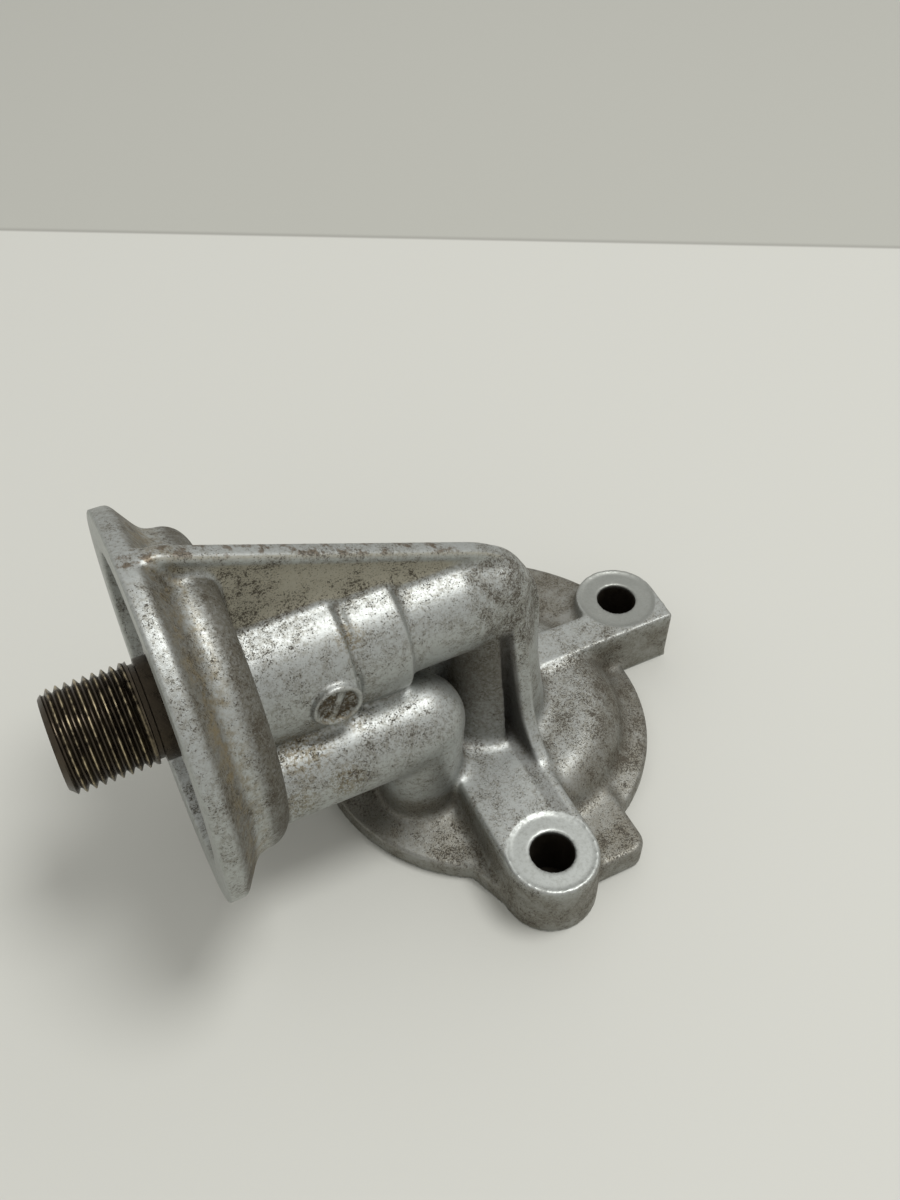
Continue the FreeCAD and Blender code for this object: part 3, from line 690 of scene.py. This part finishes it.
def valve_steel():
    """Plain turned steel with a thin oil film."""
    g = Graph("valve_steel")
    film = g.noise(1.2, 3.0, 0.6)
    g.put(g.shader.inputs["Base Color"], g.mix(film, (150, 148, 142), (118, 114, 104)))
    g.shader.inputs["Metallic"].default_value = 0.95
    g.put(g.shader.inputs["Roughness"], g.between(film, 0.2, 0.8, 0.24, 0.4))
    g.put(g.shader.inputs["Normal"], g.bump(g.noise(0.25, 2.0), 0.015, 0.5))
    return g.material


def seal_rubber():
    """Matt black oil-proof rubber."""
    g = Graph("seal_rubber")
    bloom = g.noise(1.5, 3.0, 0.6)
    g.put(g.shader.inputs["Base Color"], g.mix(bloom, (30, 30, 31), (46, 45, 44)))
    g.put(g.shader.inputs["Roughness"], g.between(bloom, 0.2, 0.8, 0.5, 0.7))
    g.put(g.shader.inputs["Normal"], g.bump(g.noise(0.2, 2.0), 0.02, 0.5))
    return g.material


def dress(piece, material):
    """Give a piece one material."""
    piece.data.materials.clear()
    piece.data.materials.append(material)


casting = cast_housing()
dress(casting, cast_aluminium())
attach(casting, "housing_body")
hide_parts("housing")

steel = valve_steel()
stud = threaded_stud()
dress(stud, dark_steel())
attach(stud, "housing_body")
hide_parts("filter_stud")

spring = coil_spring()
dress(spring, steel)
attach(spring, "housing_body")
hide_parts("bypass_spring")
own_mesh(spring)

rubber = seal_rubber()
for node, material in (("outer_seal", rubber), ("port_seal", rubber), ("bypass_seat", steel),
                       ("bypass_cage", steel), ("bypass_poppet", steel)):
    for material_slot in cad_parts[node].material_slots:
        material_slot.material = material


# Floor and light: the table's far edge runs between two points, in millimetres
TABLE_EDGE = ((-51.1, 267.3, 0.0), (223.8, 118.3, 0.0))
TABLE, BEYOND_TABLE, EDGE_LINE, HOLE_SHADOW = (200, 200, 193), (176, 176, 168), (130, 128, 122), (52, 46, 36)
HOLE_SHADOW_RADIUS, HOLE_SHADOW_CORE = 5.4, 5.0
FLOOR_REACH = 3.0
LAMP_AIM, LAMP_TOWARDS = (-0.02, 0.0, 0.02), (0.28, -0.10, 0.95)
LAMP_DISTANCE, LAMP_SIZE, LAMP_WATTS = 1.3, 0.5, 8.5
ROOM_TINT, ROOM_STRENGTH = (1.0, 0.995, 0.975, 1.0), 0.68


def floor_material():
    """Warm off-white table, greyer beyond its far edge, with a painted shadow, a dark spot, on the floor
    under each bolt hole.
    """
    g = Graph("pale_floor")
    g.shader.inputs["Roughness"].default_value = 0.55
    g.shader.inputs["Specular IOR Level"].default_value = 0.25
    edge_start, edge_end = (Vector(point) for point in TABLE_EDGE)
    run = (edge_end - edge_start).normalized()
    away = Vector((-run.y, run.x, 0))
    node = g.tree.nodes.new("ShaderNodeVectorMath")
    node.operation = "DOT_PRODUCT"
    g.put(node.inputs[0], g.place)
    node.inputs[1].default_value = away
    beyond = g.math("SUBTRACT", node.outputs["Value"], away.dot(edge_start) * MM)
    line = g.times(g.between(beyond, -0.0012, 0.0), g.between(beyond, 0.0, 0.0024, 1.0, 0.0))
    tone = g.mix(g.between(beyond, -0.0004, 0.0004), TABLE, BEYOND_TABLE)
    tone = g.mix(g.times(line, 0.45), tone, EDGE_LINE)
    # Painted shadow on the floor under each bolt hole, seen through the hole.
    for hole_x, hole_y in BOLT_HOLES:
        tone = g.mix(spot(g, hole_x, hole_y, 0.0, HOLE_SHADOW_RADIUS, HOLE_SHADOW_CORE), tone, HOLE_SHADOW)
    g.put(g.shader.inputs["Base Color"], tone)
    return g.material


def ceiling_light():
    """Soft round lamp above, aimed at the part."""
    lamp = bpy.data.lights.new("ceiling", "AREA")
    lamp.shape = "DISK"
    lamp.size = LAMP_SIZE
    lamp.energy = LAMP_WATTS
    holder = bpy.data.objects.new("ceiling", lamp)
    bpy.context.scene.collection.objects.link(holder)
    direction = Vector(LAMP_TOWARDS).normalized()
    holder.location = Vector(LAMP_AIM) + direction * LAMP_DISTANCE
    holder.rotation_mode = "QUATERNION"
    holder.rotation_quaternion = direction.to_track_quat("Z", "Y")


floor_mesh = bpy.data.meshes.new("floor")
corners = [(-FLOOR_REACH, -FLOOR_REACH, 0), (FLOOR_REACH, -FLOOR_REACH, 0),
           (FLOOR_REACH, FLOOR_REACH, 0), (-FLOOR_REACH, FLOOR_REACH, 0)]
floor_mesh.from_pydata(corners, [], [(0, 1, 2, 3)])
floor = link("floor", floor_mesh)
dress(floor, floor_material())
ceiling_light()

world = bpy.data.worlds.new("room")
bpy.context.scene.world = world
world.use_nodes = True
world.node_tree.nodes["Background"].inputs["Color"].default_value = ROOM_TINT
world.node_tree.nodes["Background"].inputs["Strength"].default_value = ROOM_STRENGTH


# Camera, fitted to the photograph; its place is in millimetres
CAMERA_PLACE = (-74.4, -133.17, 208.48)
HEADING, PITCH, ROLL = math.radians(63.48), math.radians(47.25), math.radians(0.13)
FOCAL_PIXELS, FRAME_WIDTH_PIXELS = 1151.44, 900
SENSOR_WIDTH = 36.0

forward = Vector((math.cos(HEADING) * math.cos(PITCH), math.sin(HEADING) * math.cos(PITCH),
                  -math.sin(PITCH)))
level = Vector((math.sin(HEADING), -math.cos(HEADING), 0))
upward = level.cross(forward)
right = level * math.cos(ROLL) + upward * math.sin(ROLL)
top = upward * math.cos(ROLL) - level * math.sin(ROLL)
camera = bpy.data.objects.new("camera", bpy.data.cameras.new("camera"))
bpy.context.scene.collection.objects.link(camera)
camera.data.sensor_fit = "HORIZONTAL"
camera.data.sensor_width = SENSOR_WIDTH
camera.data.lens = SENSOR_WIDTH * FOCAL_PIXELS / FRAME_WIDTH_PIXELS
camera.data.clip_start = 0.01
camera.data.clip_end = 20.0
placement = Matrix((right, top, -forward)).transposed().to_4x4()
placement.translation = Vector(CAMERA_PLACE) * MM
camera.matrix_world = placement
bpy.context.scene.camera = camera
bpy.context.scene.view_settings.view_transform = "Standard"
